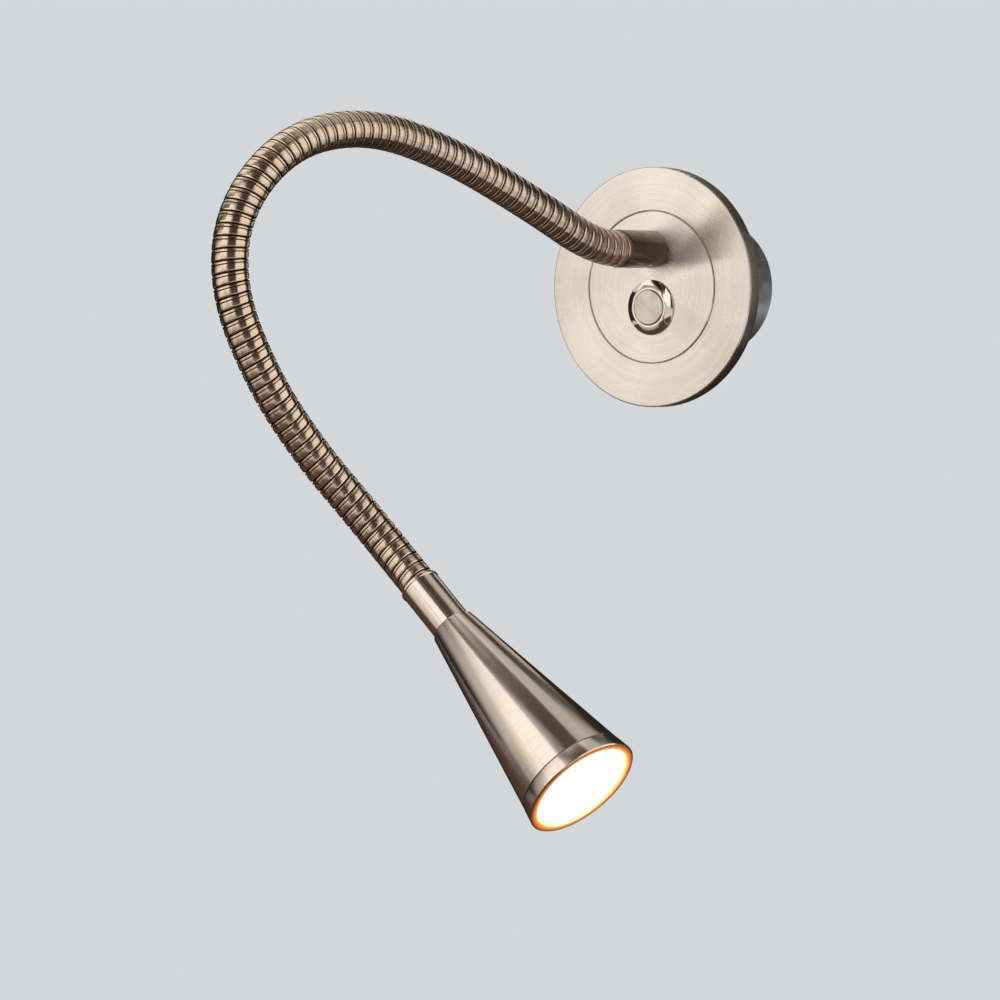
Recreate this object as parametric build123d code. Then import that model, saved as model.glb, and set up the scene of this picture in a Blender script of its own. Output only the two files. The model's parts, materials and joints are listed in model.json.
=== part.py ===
from build123d import *
from math import cos, pi, radians, sin, tan
import os

# Bedside wall reading lamp: a round wall base with a push switch, a bendable ribbed neck
# and a conical spot head. Millimetres, +Z up.
# The origin is the centre of the base on the wall, and the room lies towards -Y.

# Wall base. Depths are measured out from the wall, so a negative depth is inside it.
base_radius = 40.0
base_depth = 5.5
disc_radius = 25.25
ring_gap = 0.2
ring_wall = 1.5
ring_clear_of_wall = 0.3
edge_chamfer = 0.4

plate_radius = 36.0
plate_thickness = 2.0
slot_centre = 30.0
slot_length = 9.0
slot_width = 4.2
lug_circle = 27.3
lug_radius = 3.0
lug_thickness = 1.6
lug_angles = (90, 210, 330)
magnet_circle = 33.0
magnet_radius = 3.0
magnet_angles = (45, 135, 225, 315)
earth_screw_drop = 32.0

can_radius = 22.0
can_wall = 0.8
can_flange_radius = 23.4
can_depth = 34.0
can_lip = 0.75
inlet_bore = 3.6
inlet_hole = 5.5
inlet_flange = 7.0
inlet_height = -0.3
grommet_rear = 2.0
grommet_front = 1.4

# Neck outlet on the front disc.
outlet_height = 12.6
collar_radius = 6.3
collar_end = 25.5
stud_radius = 4.9
stud_rear = -6.0
stud_front = 19.5
washer_thickness = 0.8
washer_radius = 7.4
neck_nut_flats = 13.0
neck_nut_height = 3.5
sleeve_play = 0.04
thread_play = 0.02
set_screw_radius = 1.5
set_screw_depth = 10.5
set_screw_turn = 20.0

# Push switch, a 16 mm panel type.
switch_height = -6.8
switch_thread = 8.0
bezel_radius = 9.25
bezel_top_radius = 6.65
bezel_top = 7.3
cap_radius = 5.7
cap_top = 7.6
cap_back = 4.6
stem_radius = 2.85
well_radius = 3.0
well_floor = -6.0
well_step = 3.0
seal_inner = 8.2
seal_outer = 8.9
seal_height = 0.4
switch_nut_flats = 19.0
switch_nut_height = 3.5
terminal_reach = 5.0
switch_rear = -14.0

# Neck: a ribbed hose of one bore, cut into links that turn on one another.
neck_radius = 6.0
groove_radius = 5.45
neck_bore = 3.3
spigot_radius = 3.95
spigot_length = 8.0
lead_bore = 2.7
hinge_count = 14
hinge_inset = 14.0
rib_pitch = 3.58
crest_start = 0.12
crest_end = 0.80
rib_end = 0.90
ball_radius = 4.7
ball_neck = 3.8
socket_radius = 4.85
socket_lap = 0.4
hinge_gap = 3.9
lead_radius = 1.9
lead_rear = -9.0
lead_front = 62.0

# The neck's centreline from the collar's mouth to the head ferrule.
neck_route = [
    (0.0, -collar_end, outlet_height),
    (0.0, -38.0, outlet_height),
    (-6.0, -64.5, 26.6),
    (-16.4, -100.2, 43.7),
    (-22.9, -134.8, 51.7),
    (-30.9, -164.8, 45.5),
    (-39.2, -181.9, 23.6),
    (-39.2, -184.7, -2.5),
    (-31.0, -176.5, -31.0),
    (-21.6, -164.5, -53.5),
    (-9.6, -154.0, -72.4),
    (0.6, -148.8, -86.3),
    (10.3, -149.5, -95.3),
]
bend_share = 0.45
first_bend = 8.0
steady = Vector(2, 0, 1)

# Head. Distances run along its axis from the ferrule's neck end.
ferrule_radius = 6.5
ferrule_lip = 6.75
ferrule_length = 19.0
cone_start = 19.15
cone_end = 85.6
cone_rear_radius = 7.25
cone_front_radius = 18.4
cone_wall = 1.5
cone_floor = 3.0
skirt_start = 79.4
bezel_start = 85.9
head_end = 91.3
bezel_back_radius = 18.55
bezel_front_radius = 19.5
window_radius = 16.75
seat_depth = 2.6
lens_edge = 1.3
lens_crown = 0.6
seal_thickness = 0.5
seal_window = 14.9
reflector_rim = 13.9
reflector_throat = 5.2
ferrule_bore = 4.0
ferrule_rear_end = 27.5
ferrule_screw_at = 9.0
ferrule_nut_flats = 10.0
board_at = 70.0
board_radius = 11.0
board_screw_at = 8.6
board_thickness = 1.6
lead_hole = 1.6
lead_hole_at = 8.4
chip_radius = 4.5
chip_height = 0.9
sink_length = 20.0
fin_count = 12
tapped_hole = 1.27


def along(direction, at):
    """Frame at a point whose third axis is the direction, with a steady first axis."""
    z = Vector(*direction).normalized()
    x = (steady - z * steady.dot(z)).normalized()
    return Plane(origin=at, x_dir=x, z_dir=z)


base_frame = Plane(origin=(0, 0, 0), x_dir=(1, 0, 0), z_dir=(0, -1, 0))
route = [Vector(*p) for p in neck_route]
head_axis = (route[-1] - route[-2]).normalized()
head_frame = along(head_axis, route[-1])


def bend_radii(points):
    """Radius of the arc at each corner of the route, as large as its two runs allow."""
    radii = []
    for i in range(1, len(points) - 1):
        before = points[i] - points[i - 1]
        after = points[i + 1] - points[i]
        reach = bend_share * min(before.length, after.length)
        if i == 1:
            reach = first_bend
        radii.append(reach / tan(radians(before.get_angle(after)) / 2))
    return radii


radii = bend_radii(route)
centreline = FilletPolyline(*route, radius=radii)
neck_length = centreline.length


def station(distance):
    """Frame square to the neck at a distance along its centreline."""
    at = centreline.position_at(distance, position_mode=PositionMode.LENGTH)
    heading = centreline.tangent_at(distance, position_mode=PositionMode.LENGTH)
    return along(heading, at)


def turned(outline):
    """Solid of revolution about the third axis from (distance along, radius) points."""
    corners = [(radius, 0, distance) for distance, radius in outline]
    return revolve(make_face(Polyline(*corners, close=True)), Axis.Z)


def rod(start, end, radius, x=0.0, y=0.0):
    """Cylinder along the third axis between two distances."""
    return Pos(x, y, (start + end) / 2) * Cylinder(radius, end - start)


def tube(start, end, outer, inner, x=0.0, y=0.0):
    return rod(start, end, outer, x, y) - rod(start - 1, end + 1, inner, x, y)


def hexagon(start, end, flats, x=0.0, y=0.0):
    outline = RegularPolygon(flats / 2, 6, major_radius=False)
    return Pos(x, y, start) * extrude(outline, end - start)


def block(x, y, depth):
    """Box between two limits on each axis."""
    middle = [(low + high) / 2 for low, high in (x, y, depth)]
    sides = [high - low for low, high in (x, y, depth)]
    return Pos(*middle) * Box(*sides)


def on_circle(radius, angle):
    return radius * cos(radians(angle)), radius * sin(radians(angle))


def save(name, shape, frame=None):
    if frame is not None:
        shape = frame.location * shape
    solids = shape.solids()
    if len(solids) != 1:
        print("not one solid:", name, len(solids))
    solids[0].label = name
    export_step(solids[0], "parts/" + name + ".step")


# ---------------------------------------------------------------- wall base


def mounting_plate():
    """Steel plate that is screwed to the wall box through two level slots."""
    plate = tube(0, plate_thickness, plate_radius, can_radius + 0.1)
    for side in (-1, 1):
        outline = SlotOverall(slot_length, slot_width)
        plate -= Pos(side * slot_centre, 0, -1) * extrude(outline, plate_thickness + 2)
    for angle in lug_angles:
        x, y = on_circle(lug_circle, angle)
        sink = turned([(-0.01, 0), (-0.01, 2.45), (1.2, 1.3), (3, 1.3), (3, 0)])
        plate -= Pos(x, y, 0) * sink
    plate -= rod(-1, 3, 1.65, 0, -earth_screw_drop)
    return plate


def recess_can():
    """Deep pressed cup behind the plate that holds the driver and the terminals."""
    outline = [
        (plate_thickness, can_radius - can_wall),
        (plate_thickness + can_lip, can_radius - can_wall),
        (plate_thickness + can_lip, can_flange_radius),
        (plate_thickness, can_flange_radius),
        (plate_thickness, can_radius),
        (-can_depth, can_radius),
        (-can_depth, 0),
        (-can_depth + can_wall, 0),
        (-can_depth + can_wall, can_radius - can_wall),
    ]
    can = turned(outline)
    return can - rod(-can_depth - 1, -can_depth + 2, inlet_hole, 0, inlet_height)


def cable_grommet():
    """Rubber bush in the can's floor, where the supply cable comes in from the wall."""
    floor = -can_depth
    outline = [
        (floor - grommet_rear, inlet_bore),
        (floor - grommet_rear, inlet_flange - 0.8),
        (floor - 1.2, inlet_flange),
        (floor, inlet_flange),
        (floor, inlet_hole),
        (floor + can_wall, inlet_hole),
        (floor + can_wall, inlet_flange),
        (floor + can_wall + grommet_front, inlet_flange - 0.6),
        (floor + can_wall + grommet_front, inlet_bore),
    ]
    return Pos(0, inlet_height, 0) * turned(outline)


def front_disc():
    """Brushed disc that carries the neck and the switch, with three lugs behind it."""
    disc = turned([
        (plate_thickness, 0),
        (plate_thickness, disc_radius),
        (base_depth - 0.25, disc_radius),
        (base_depth, disc_radius - 0.25),
        (base_depth, 0),
    ])
    lug_top = plate_thickness + lug_thickness
    for angle in lug_angles:
        x, y = on_circle(lug_circle, angle)
        disc += rod(plate_thickness, lug_top, lug_radius, x, y)
    disc -= rod(1, 2.8, can_flange_radius + 0.1)
    for angle in lug_angles:
        x, y = on_circle(lug_circle, angle)
        disc -= rod(1, lug_top - 0.1, tapped_hole, x, y)
    disc -= rod(0, 7, stud_radius + 0.05, 0, outlet_height)
    disc -= rod(0, 7, switch_thread + 0.05, 0, switch_height)
    return disc


def disc_screw():
    """Countersunk screw that holds a lug of the front disc, driven from behind."""
    screw = turned([(0.1, 0), (0.1, 2.3), (1.2, 1.25), (3.4, 1.25), (3.4, 0)])
    return screw - block((-1.5, 1.5), (-0.25, 0.25), (0, 0.6))


def trim_ring():
    """Dished ring that the magnets hold over the fixing screws."""
    inner = disc_radius + ring_gap
    flange_back = base_depth - ring_wall
    return turned([
        (flange_back, inner),
        (base_depth - 0.25, inner),
        (base_depth, inner + 0.25),
        (base_depth, base_radius - edge_chamfer),
        (base_depth - edge_chamfer, base_radius),
        (ring_clear_of_wall, base_radius),
        (ring_clear_of_wall, base_radius - ring_wall),
        (flange_back, base_radius - ring_wall),
    ])


def magnet():
    top = base_depth - ring_wall - 0.05
    return turned([
        (plate_thickness, 0),
        (plate_thickness, magnet_radius),
        (top - 0.2, magnet_radius),
        (top, magnet_radius - 0.2),
        (top, 0),
    ])


def earth_screw():
    screw = rod(plate_thickness, 3.7, 2.6) + rod(0.1, plate_thickness, 1.6)
    return screw - block((-2.7, 2.7), (-0.3, 0.3), (3.0, 4.0))


def neck_stud():
    """Hollow threaded stud, clamped through the disc, that the collar slides over."""
    outline = [
        (stud_rear, lead_bore),
        (stud_rear, stud_radius - 0.4),
        (stud_rear + 0.4, stud_radius),
        (base_depth, stud_radius),
        (base_depth, collar_radius - 0.4),
        (base_depth + 1, collar_radius - 0.4),
        (base_depth + 1, stud_radius),
        (stud_front, stud_radius),
        (stud_front, lead_bore),
    ]
    return Pos(0, outlet_height, 0) * turned(outline)


def neck_collar():
    """Sleeve over the stud, with the spigot that the neck is crimped on."""
    outline = [
        (base_depth, collar_radius - 0.35),
        (base_depth, collar_radius),
        (collar_end - 0.3, collar_radius),
        (collar_end, collar_radius - 0.3),
        (collar_end, spigot_radius),
        (collar_end + spigot_length, spigot_radius),
        (collar_end + spigot_length, lead_bore),
        (stud_front + 0.1, lead_bore),
        (stud_front + 0.1, stud_radius + sleeve_play),
        (base_depth + 1.1, stud_radius + sleeve_play),
        (base_depth + 1.1, collar_radius - 0.35),
    ]
    collar = Pos(0, outlet_height, 0) * turned(outline)
    hole = rod(stud_radius - 1, collar_radius + 1, set_screw_radius + thread_play)
    return collar - set_screw_place() * hole


def set_screw_place():
    """Place on the collar's underside whose third axis points out of the screw."""
    turn = radians(set_screw_turn)
    outward = Vector(sin(turn), -cos(turn), 0)
    at = Vector(0, outlet_height, set_screw_depth)
    return Plane(origin=at, x_dir=(0, 0, 1), z_dir=outward).location


def set_screw(inner, outer):
    screw = rod(inner, outer, set_screw_radius)
    return screw - hexagon(outer - 1.0, outer + 1, 1.5)


def neck_washer():
    front = plate_thickness + washer_thickness
    return tube(plate_thickness, front, washer_radius, stud_radius + 0.1, 0, outlet_height)


def neck_nut():
    rear = plate_thickness - neck_nut_height
    nut = hexagon(rear, plate_thickness, neck_nut_flats, 0, outlet_height)
    return nut - rod(-3, 3, stud_radius + thread_play, 0, outlet_height)


# ---------------------------------------------------------------- push switch


def switch_body():
    """Bezel and threaded barrel in one, with the well that the button runs in."""
    outline = [
        (switch_rear, 0),
        (switch_rear, switch_thread - 0.5),
        (switch_rear + 0.5, switch_thread),
        (base_depth, switch_thread),
        (base_depth, seal_inner),
        (base_depth + seal_height, seal_inner),
        (base_depth + seal_height, seal_outer),
        (base_depth, seal_outer),
        (base_depth, bezel_radius),
        (base_depth + 0.2, bezel_radius),
        (bezel_top, bezel_top_radius),
        (bezel_top, cap_radius + 0.15),
        (well_step, cap_radius + 0.15),
        (well_step, well_radius),
        (well_floor, well_radius),
        (well_floor, 0),
    ]
    return Pos(0, switch_height, 0) * turned(outline)


def switch_seal():
    outer = seal_outer - thread_play
    inner = seal_inner + thread_play
    return tube(base_depth, base_depth + seal_height, outer, inner, 0, switch_height)


def switch_nut():
    front = plate_thickness + washer_thickness
    nut = hexagon(front - switch_nut_height, front, switch_nut_flats, 0, switch_height)
    return nut - rod(-3, 4, switch_thread + thread_play, 0, switch_height)


def switch_cap():
    """Round button on its stem."""
    outline = [
        (-2.0, 0),
        (-2.0, stem_radius),
        (cap_back, stem_radius),
        (cap_back, cap_radius),
        (cap_top - 0.3, cap_radius),
        (cap_top, cap_radius - 0.3),
        (cap_top, 0),
    ]
    return Pos(0, switch_height, 0) * turned(outline)


def switch_spring():
    """Return spring in the well under the stem, as a plain sleeve."""
    return tube(well_floor, -2.0, 2.5, 1.5, 0, switch_height)


def switch_terminal(side):
    tip = switch_rear - terminal_reach
    blade = block((side * 4 - 1.2, side * 4 + 1.2), (-0.25, 0.25), (tip, switch_rear))
    return Pos(0, switch_height, 0) * (blade - rod_across(side * 4, tip + 1.8, 0.6))


def rod_across(x, depth, radius):
    """Cylinder along the second axis, for a hole through a blade or a post."""
    return Pos(x, 0, depth) * Rot(90, 0, 0) * Cylinder(radius, 10)


# ---------------------------------------------------------------- supply parts in the can


def led_driver():
    """Potted constant-current driver with a moulded case."""
    case = block((-9.5, 9.5), (5, 18), (-31, -8.5))
    case = chamfer(case.edges().filter_by(Axis.Z), 1.0)
    return case - block((-7.5, 7.5), (7, 16), (-9.2, -8))


def terminal_block():
    """Three-way terminal block with a wire hole and a screw well for each pole."""
    body = block((-11, 11), (-17, -6.5), (-31, -21.5))
    for pole in (-1, 0, 1):
        body -= rod(-33, -20, 1.6, pole * 7, -13.5)
        body -= Pos(pole * 7, -9, -26) * Rot(90, 0, 0) * Cylinder(1.9, 6)
    return body


def terminal_screw(pole):
    screw = Pos(pole * 7, -9.6, -26) * Rot(90, 0, 0) * Cylinder(1.8, 4)
    return screw - block((pole * 7 - 2, pole * 7 + 2), (-8.2, -7), (-26.3, -25.7))


# ---------------------------------------------------------------- neck


def rib_circles(start, end):
    """Stations and radii of the ribs between two distances, four circles to a rib."""
    circles = []
    count = round((end - start) / rib_pitch)
    pitch = (end - start) / count
    for rib in range(count):
        foot = start + rib * pitch
        circles.append((foot, groove_radius))
        circles.append((foot + crest_start * pitch, neck_radius))
        circles.append((foot + crest_end * pitch, neck_radius))
        circles.append((foot + rib_end * pitch, groove_radius))
    circles.append((end, groove_radius))
    return circles, count


def ring_wire(distance, radius):
    return station(distance) * Wire.make_circle(radius)


def loft_rings(circles):
    rings = [ring_wire(distance, radius) for distance, radius in circles]
    return Solid.make_loft(rings, ruled=True)


hinge_step = (neck_length - 2 * hinge_inset) / (hinge_count - 1)
hinges = [hinge_inset + hinge_step * i for i in range(hinge_count)]


def neck_link(number):
    """One stretch of the hose: a socket at its wall end and a ball at its head end."""
    first = number == 0
    last = number == hinge_count
    start = 0.0 if first else hinges[number - 1] - socket_lap
    end = neck_length if last else hinges[number] - hinge_gap
    circles, count = rib_circles(start, end)
    link = loft_rings(circles)
    inner = [start + (end - start) * i / 8 for i in range(9)]
    bore = loft_rings([(distance, neck_bore) for distance in inner])
    link -= bore
    if first:
        link -= station(0).location * rod(-1, spigot_length + 0.1, spigot_radius + 0.03)
    else:
        link -= station(hinges[number - 1]).location * Sphere(socket_radius)
    if last:
        seat = rod(-spigot_length - 0.1, 1, spigot_radius + 0.03)
        link -= head_frame.location * seat
    else:
        pivot = station(hinges[number]).location
        ball = Sphere(ball_radius) + rod(-hinge_gap - 1, 0, ball_neck)
        ball -= rod(-ball_radius - 1, ball_radius + 1, lead_bore)
        ball -= rod(2.2, ball_radius + 1, ball_radius + 1)
        link += pivot * ball
    return link, count


def neck_lead():
    """Two-core lead through the neck, from the can to the lamp in the head."""
    rear = Vector(0, -lead_rear, outlet_height)
    front = route[-1] + head_axis * lead_front
    path = FilletPolyline(rear, *route[1:-1], front, radius=radii)
    section = Plane(origin=path @ 0, z_dir=path % 0) * Circle(lead_radius)
    lead = sweep(section, path)
    straight = pi * lead_radius ** 2 * path.length
    print("lead volume over section times length:", round(lead.volume / straight, 4))
    print("lead length:", round(path.length, 1))
    return lead


# ---------------------------------------------------------------- head


def head_ferrule():
    """Turned sleeve between the neck and the cone, with a spigot at each end."""
    outline = [
        (-spigot_length, lead_bore),
        (-spigot_length, spigot_radius),
        (0, spigot_radius),
        (0, ferrule_lip - 0.3),
        (0.3, ferrule_lip),
        (1.0, ferrule_lip),
        (1.2, ferrule_radius),
        (ferrule_length, ferrule_radius),
        (ferrule_length, ferrule_bore),
        (ferrule_rear_end, ferrule_bore),
        (ferrule_rear_end, lead_bore - 0.3),
        (ferrule_length - 2, lead_bore - 0.3),
        (ferrule_length - 3, lead_bore),
    ]
    hole = rod(2, 8, set_screw_radius + thread_play)
    return turned(outline) - ferrule_screw_place() * hole


def ferrule_screw_place():
    at = Vector(0, 0, ferrule_screw_at)
    return Plane(origin=at, x_dir=(0, 0, 1), z_dir=(-1, 0, 0)).location


def ferrule_nut():
    start = cone_start + cone_floor
    nut = hexagon(start, start + 4.0, ferrule_nut_flats)
    return nut - rod(start - 1, start + 5, ferrule_bore + thread_play)


def cone_shell():
    """Long conical housing with a thick rear wall."""
    slope = (cone_front_radius - cone_rear_radius) / (cone_end - cone_start)
    floor = cone_start + cone_floor
    outline = [
        (cone_start, ferrule_bore + 0.05),
        (cone_start, cone_rear_radius - 0.35),
        (cone_start + 0.35, cone_rear_radius),
        (cone_end, cone_front_radius),
        (cone_end, cone_front_radius - cone_wall),
        (floor, cone_rear_radius + slope * cone_floor - cone_wall),
        (floor, ferrule_bore + 0.05),
    ]
    return turned(outline)


def front_bezel():
    """Tapered front ring with a skirt that screws into the cone and a seat for the lens."""
    skirt = cone_front_radius - cone_wall - 1.1
    return turned([
        (skirt_start, skirt - 1.1),
        (skirt_start, skirt),
        (bezel_start - 0.2, skirt),
        (bezel_start - 0.2, cone_front_radius - 0.9),
        (bezel_start, cone_front_radius - 0.9),
        (bezel_start, bezel_back_radius - 0.2),
        (bezel_start + 0.2, bezel_back_radius),
        (head_end - 0.4, bezel_front_radius),
        (head_end, bezel_front_radius - 0.4),
        (head_end, window_radius + 0.4),
        (head_end - 0.4, window_radius),
        (head_end - seat_depth, window_radius),
        (head_end - seat_depth, skirt - 1.1),
    ])


def lens():
    """Clear front lens with a low crown."""
    back = head_end - seat_depth + seal_thickness
    edge = window_radius - 0.1
    sphere = (edge ** 2 + lens_crown ** 2) / (2 * lens_crown)
    top = back + lens_edge + lens_crown
    return rod(back, top, edge) & Pos(0, 0, top - sphere) * Sphere(sphere)


def lens_seal():
    back = head_end - seat_depth
    return tube(back, back + seal_thickness, window_radius - 0.1, seal_window)


def reflector():
    """Faceless bowl that throws the light forward, open at both ends."""
    start = board_at + board_thickness + 0.2
    rim = head_end - seat_depth - 0.2
    return turned([
        (start, reflector_throat),
        (start, reflector_throat + 0.75),
        (start + 1.6, reflector_throat + 0.75),
        (rim, reflector_rim + 0.5),
        (rim, reflector_rim - 0.3),
        (start + 1.0, reflector_throat),
    ])


def led_board():
    board = rod(board_at, board_at + board_thickness, board_radius)
    for side in (-1, 1):
        board -= rod(board_at - 1, board_at + 3, tapped_hole, side * board_screw_at, 0)
    return board - rod(board_at - 1, board_at + 3, lead_hole, 0, lead_hole_at)


def led_chip():
    start = board_at + board_thickness
    return turned([
        (start, 0),
        (start, chip_radius),
        (start + chip_height, chip_radius),
        (start + chip_height, chip_radius - 0.6),
        (start + chip_height - 0.2, chip_radius - 0.8),
        (start + chip_height - 0.2, 0),
    ])


def board_screw(side):
    top = board_at + board_thickness
    screw = rod(top, top + 1.4, 2.1) + rod(top - 5, top, 1.25)
    screw -= block((-0.3, 0.3), (-2.2, 2.2), (top + 0.8, top + 2))
    return Pos(side * board_screw_at, 0, 0) * screw


def heat_sink():
    """Finned aluminium slug behind the board, drilled for the lead."""
    start = board_at - sink_length
    slope = (cone_front_radius - cone_rear_radius) / (cone_end - cone_start)
    inner_wall = cone_rear_radius - cone_wall + slope * (start - cone_start) - 0.25
    top_wall = inner_wall + slope * sink_length
    sink = rod(board_at - 3, board_at, top_wall - slope * 3) + rod(start, board_at, 6.0)
    for fin in range(fin_count):
        blade = block((5, inner_wall), (-0.6, 0.6), (start, board_at - 2))
        sink += Rot(0, 0, fin * 360 / fin_count) * blade
    sink -= rod(start - 1, board_at - 4, 2.6)
    sink -= rod(board_at - 6, board_at + 1, lead_hole, 0, lead_hole_at)
    for side in (-1, 1):
        sink -= rod(board_at - 3.6, board_at + 1, tapped_hole, side * board_screw_at, 0)
    return sink


# ---------------------------------------------------------------- write the pieces

os.makedirs("parts", exist_ok=True)

save("mounting_plate", mounting_plate(), base_frame)
save("recess_can", recess_can(), base_frame)
save("cable_grommet", cable_grommet(), base_frame)
save("front_disc", front_disc(), base_frame)
for number, angle in enumerate(lug_angles, 1):
    x, y = on_circle(lug_circle, angle)
    save(f"disc_screw_{number}", Pos(x, y, 0) * disc_screw(), base_frame)
save("trim_ring", trim_ring(), base_frame)
for number, angle in enumerate(magnet_angles, 1):
    x, y = on_circle(magnet_circle, angle)
    save(f"magnet_{number}", Pos(x, y, 0) * magnet(), base_frame)
save("earth_screw", Pos(0, -earth_screw_drop, 0) * earth_screw(), base_frame)
save("neck_stud", neck_stud(), base_frame)
save("neck_washer", neck_washer(), base_frame)
save("neck_nut", neck_nut(), base_frame)
save("neck_collar", neck_collar(), base_frame)
collar_screw = set_screw(stud_radius + 0.05, collar_radius - 0.1)
save("collar_set_screw", set_screw_place() * collar_screw, base_frame)

save("switch_body", switch_body(), base_frame)
save("switch_seal", switch_seal(), base_frame)
save("switch_nut", switch_nut(), base_frame)
save("switch_cap", switch_cap(), base_frame)
save("switch_spring", switch_spring(), base_frame)
for number, side in enumerate((-1, 1), 1):
    save(f"switch_terminal_{number}", switch_terminal(side), base_frame)

save("led_driver", led_driver(), base_frame)
save("terminal_block", terminal_block(), base_frame)
for number, pole in enumerate((-1, 0, 1), 1):
    save(f"terminal_screw_{number}", terminal_screw(pole), base_frame)

ribs = 0
for number in range(hinge_count + 1):
    link, count = neck_link(number)
    ribs += count
    save(f"neck_link_{number:02d}", link)
save("neck_lead", neck_lead())

save("head_ferrule", head_ferrule(), head_frame)
ferrule_screw = ferrule_screw_place() * set_screw(3.2, ferrule_radius - 0.1)
save("ferrule_set_screw", ferrule_screw, head_frame)
save("ferrule_nut", ferrule_nut(), head_frame)
save("cone_shell", cone_shell(), head_frame)
save("heat_sink", heat_sink(), head_frame)
save("led_board", led_board(), head_frame)
save("led_chip", led_chip(), head_frame)
for number, side in enumerate((-1, 1), 1):
    save(f"board_screw_{number}", board_screw(side), head_frame)
save("reflector", reflector(), head_frame)
save("lens", lens(), head_frame)
save("lens_seal", lens_seal(), head_frame)
save("front_bezel", front_bezel(), head_frame)

print("neck length", round(neck_length, 1), "ribs", ribs)
print("bend radii", [round(r, 1) for r in radii])
for number, distance in enumerate(hinges, 1):
    frame = station(distance)
    print("hinge", number, frame.origin, frame.z_dir, frame.x_dir, frame.y_dir)
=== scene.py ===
import json
import math
import bpy
from mathutils import Matrix, Vector


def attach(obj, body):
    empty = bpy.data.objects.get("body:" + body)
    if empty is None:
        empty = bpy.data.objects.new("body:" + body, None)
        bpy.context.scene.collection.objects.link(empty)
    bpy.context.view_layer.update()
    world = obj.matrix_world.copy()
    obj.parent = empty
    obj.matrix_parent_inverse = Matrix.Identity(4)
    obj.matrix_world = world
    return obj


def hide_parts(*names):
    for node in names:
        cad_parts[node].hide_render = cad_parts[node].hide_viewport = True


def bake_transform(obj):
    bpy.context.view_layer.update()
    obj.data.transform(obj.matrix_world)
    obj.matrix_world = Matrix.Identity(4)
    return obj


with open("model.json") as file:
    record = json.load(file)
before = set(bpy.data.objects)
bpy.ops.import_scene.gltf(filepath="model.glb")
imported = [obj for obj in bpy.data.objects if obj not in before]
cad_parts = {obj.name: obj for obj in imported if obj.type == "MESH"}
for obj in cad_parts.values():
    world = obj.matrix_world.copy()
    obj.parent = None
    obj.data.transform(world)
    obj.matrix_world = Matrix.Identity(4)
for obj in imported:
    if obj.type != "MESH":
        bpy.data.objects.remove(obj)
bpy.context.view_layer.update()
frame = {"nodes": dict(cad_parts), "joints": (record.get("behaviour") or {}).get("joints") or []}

mm = 0.001
weld = 0.0005 * mm  # points nearer than this become one
nodes = frame["nodes"]
joints = {joint["name"]: joint for joint in frame["joints"]}


# ---- working helpers

def deselectAll():
    if bpy.context.mode != "OBJECT":
        bpy.ops.object.mode_set(mode="OBJECT")
    bpy.ops.object.select_all(action="DESELECT")


def activate(piece):
    deselectAll()
    piece.select_set(True)
    bpy.context.view_layer.objects.active = piece


def frameAlong(origin, direction, sideways):
    # local Z runs along direction, and local X stays as near sideways as it can
    z = Vector(direction).normalized()
    x = (Vector(sideways) - z * z.dot(Vector(sideways))).normalized()
    turn = Matrix((x, z.cross(x), z)).transposed().to_4x4()
    return Matrix.Translation(Vector(origin)) @ turn


def placeMesh(piece, place):
    # the place goes into the mesh, so the object itself stays at the origin
    activate(piece)
    piece.matrix_world = place @ piece.matrix_world
    bpy.ops.object.transform_apply(location=True, rotation=True, scale=True)


def applyModifiers(piece):
    activate(piece)
    for modifier in list(piece.modifiers):
        bpy.ops.object.modifier_apply(modifier=modifier.name)


def cleanShell(piece):
    activate(piece)
    bpy.ops.object.mode_set(mode="EDIT")
    bpy.ops.mesh.select_all(action="SELECT")
    bpy.ops.mesh.remove_doubles(threshold=weld)
    bpy.ops.mesh.normals_make_consistent(inside=False)
    bpy.ops.object.mode_set(mode="OBJECT")


def closeEnds(piece):
    activate(piece)
    bpy.ops.object.mode_set(mode="EDIT")
    bpy.ops.mesh.select_all(action="SELECT")
    bpy.ops.mesh.fill_holes(sides=0)
    bpy.ops.object.mode_set(mode="OBJECT")
    cleanShell(piece)


def profileWire(name, points):
    # one corner is extruded from point to point of a closed outline, (along, radius) in mm
    corners = [Vector((radius * mm, 0, along * mm)) for along, radius in points]
    deselectAll()
    bpy.ops.mesh.primitive_plane_add(size=mm, location=corners[0])
    piece = bpy.context.active_object
    piece.name = name
    bpy.ops.object.transform_apply(location=True, rotation=True, scale=True)
    bpy.ops.object.mode_set(mode="EDIT")
    bpy.ops.mesh.select_all(action="SELECT")
    bpy.ops.mesh.merge(type="CENTER")
    for start, end in zip(corners, corners[1:] + corners[:1]):
        bpy.ops.mesh.extrude_region_move(TRANSFORM_OT_translate={"value": end - start})
    bpy.ops.mesh.select_all(action="SELECT")
    bpy.ops.mesh.remove_doubles(threshold=weld)
    bpy.ops.object.mode_set(mode="OBJECT")
    return piece


def turnedPiece(name, points, place, segments=128, edge=0.1, edgeAngle=25):
    # the outline is turned once round local Z, then every sharp edge is broken
    piece = profileWire(name, points)
    turn = piece.modifiers.new("turn", "SCREW")
    turn.axis = "Z"
    turn.steps = turn.render_steps = segments
    turn.use_merge_vertices = True
    turn.merge_threshold = weld
    applyModifiers(piece)
    cleanShell(piece)
    if edge:
        bevel = piece.modifiers.new("edge", "BEVEL")
        bevel.width = edge * mm
        bevel.segments = 3
        bevel.limit_method = "ANGLE"
        bevel.angle_limit = math.radians(edgeAngle)
        applyModifiers(piece)
    placeMesh(piece, place)
    return piece


screwHole = {"radius": 1.52, "sink": 0.22, "past": 2, "segments": 48}


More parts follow.
